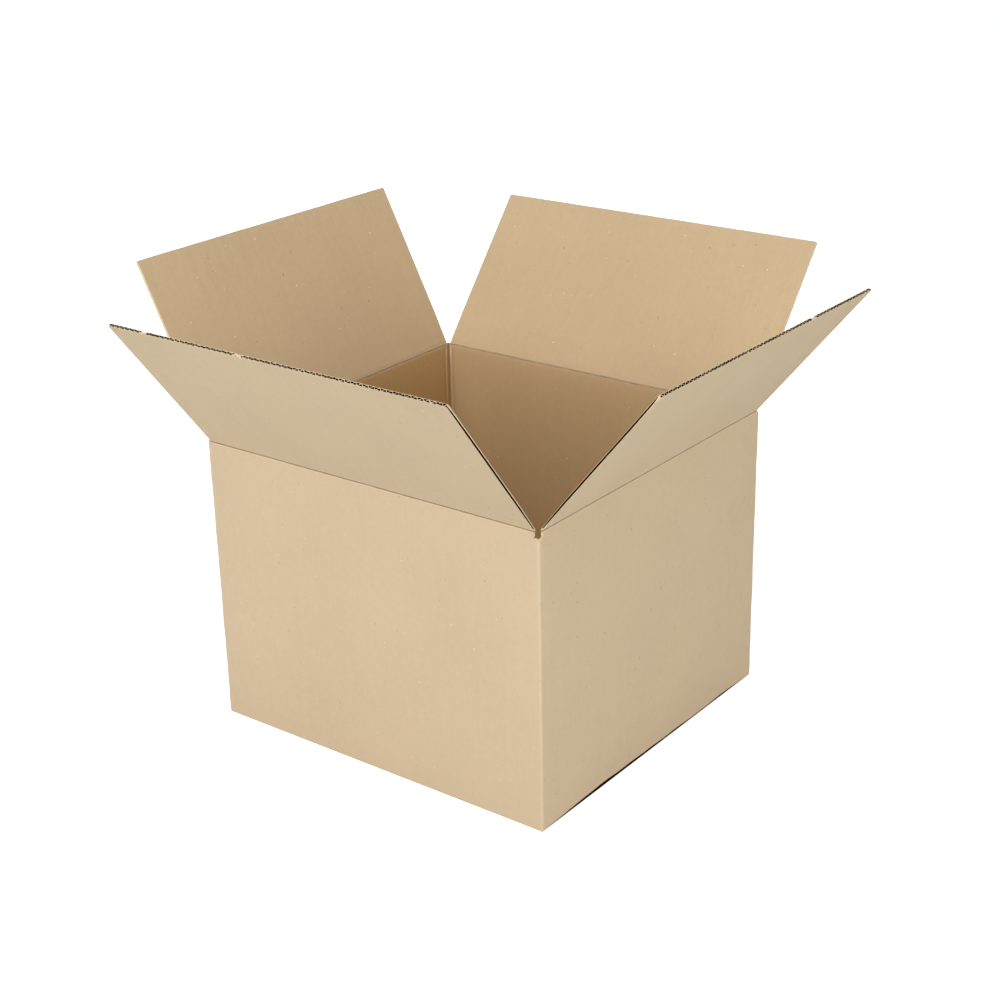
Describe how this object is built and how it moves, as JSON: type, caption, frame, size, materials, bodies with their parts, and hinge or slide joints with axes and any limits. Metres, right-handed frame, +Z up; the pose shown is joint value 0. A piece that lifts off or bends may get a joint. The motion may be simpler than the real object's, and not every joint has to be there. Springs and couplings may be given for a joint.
{
  "type": "cardboard storage box",
  "caption": "Open-topped slotted box of brown corrugated board with its top flaps leaning outward, for storing, packing and moving things.",
  "frame": {"origin": "on the floor under the middle of the box, at the seam where the outer bottom flaps meet", "axes": "+X towards the right end wall, -Y towards the front long wall, +Z up"},
  "size_m": [0.6116, 0.6197, 0.4746],
  "materials": {
    "kraft_board": "matte",
    "fluted_flap": "matte"
  },
  "bodies": {
    "box": {"box_body": "kraft_board"},
    "front_flap": {"front_flap": "fluted_flap"},
    "right_flap": {"right_flap": "fluted_flap"},
    "back_flap": {"back_flap": "fluted_flap"},
    "left_flap": {"left_flap": "fluted_flap"}
  },
  "joints": [
    {"name": "front_flap_crease", "type": "hinge", "parent": "box", "child": "front_flap", "pos_m": [0, -0.19212, 0.305], "axis": [1, 0, 0], "range_deg": [-127.8, 142.2]},
    {"name": "right_flap_crease", "type": "hinge", "parent": "box", "child": "right_flap", "pos_m": [0.203, 0, 0.30295], "axis": [0, 1, 0], "range_deg": [-129.3, 140.7]},
    {"name": "back_flap_crease", "type": "hinge", "parent": "box", "child": "back_flap", "pos_m": [0, 0.19212, 0.305], "axis": [-1, 0, 0], "range_deg": [-129.3, 140.7]},
    {"name": "left_flap_crease", "type": "hinge", "parent": "box", "child": "left_flap", "pos_m": [-0.203, 0, 0.30269], "axis": [0, -1, 0], "range_deg": [-117.1, 152.9]}
  ]
}
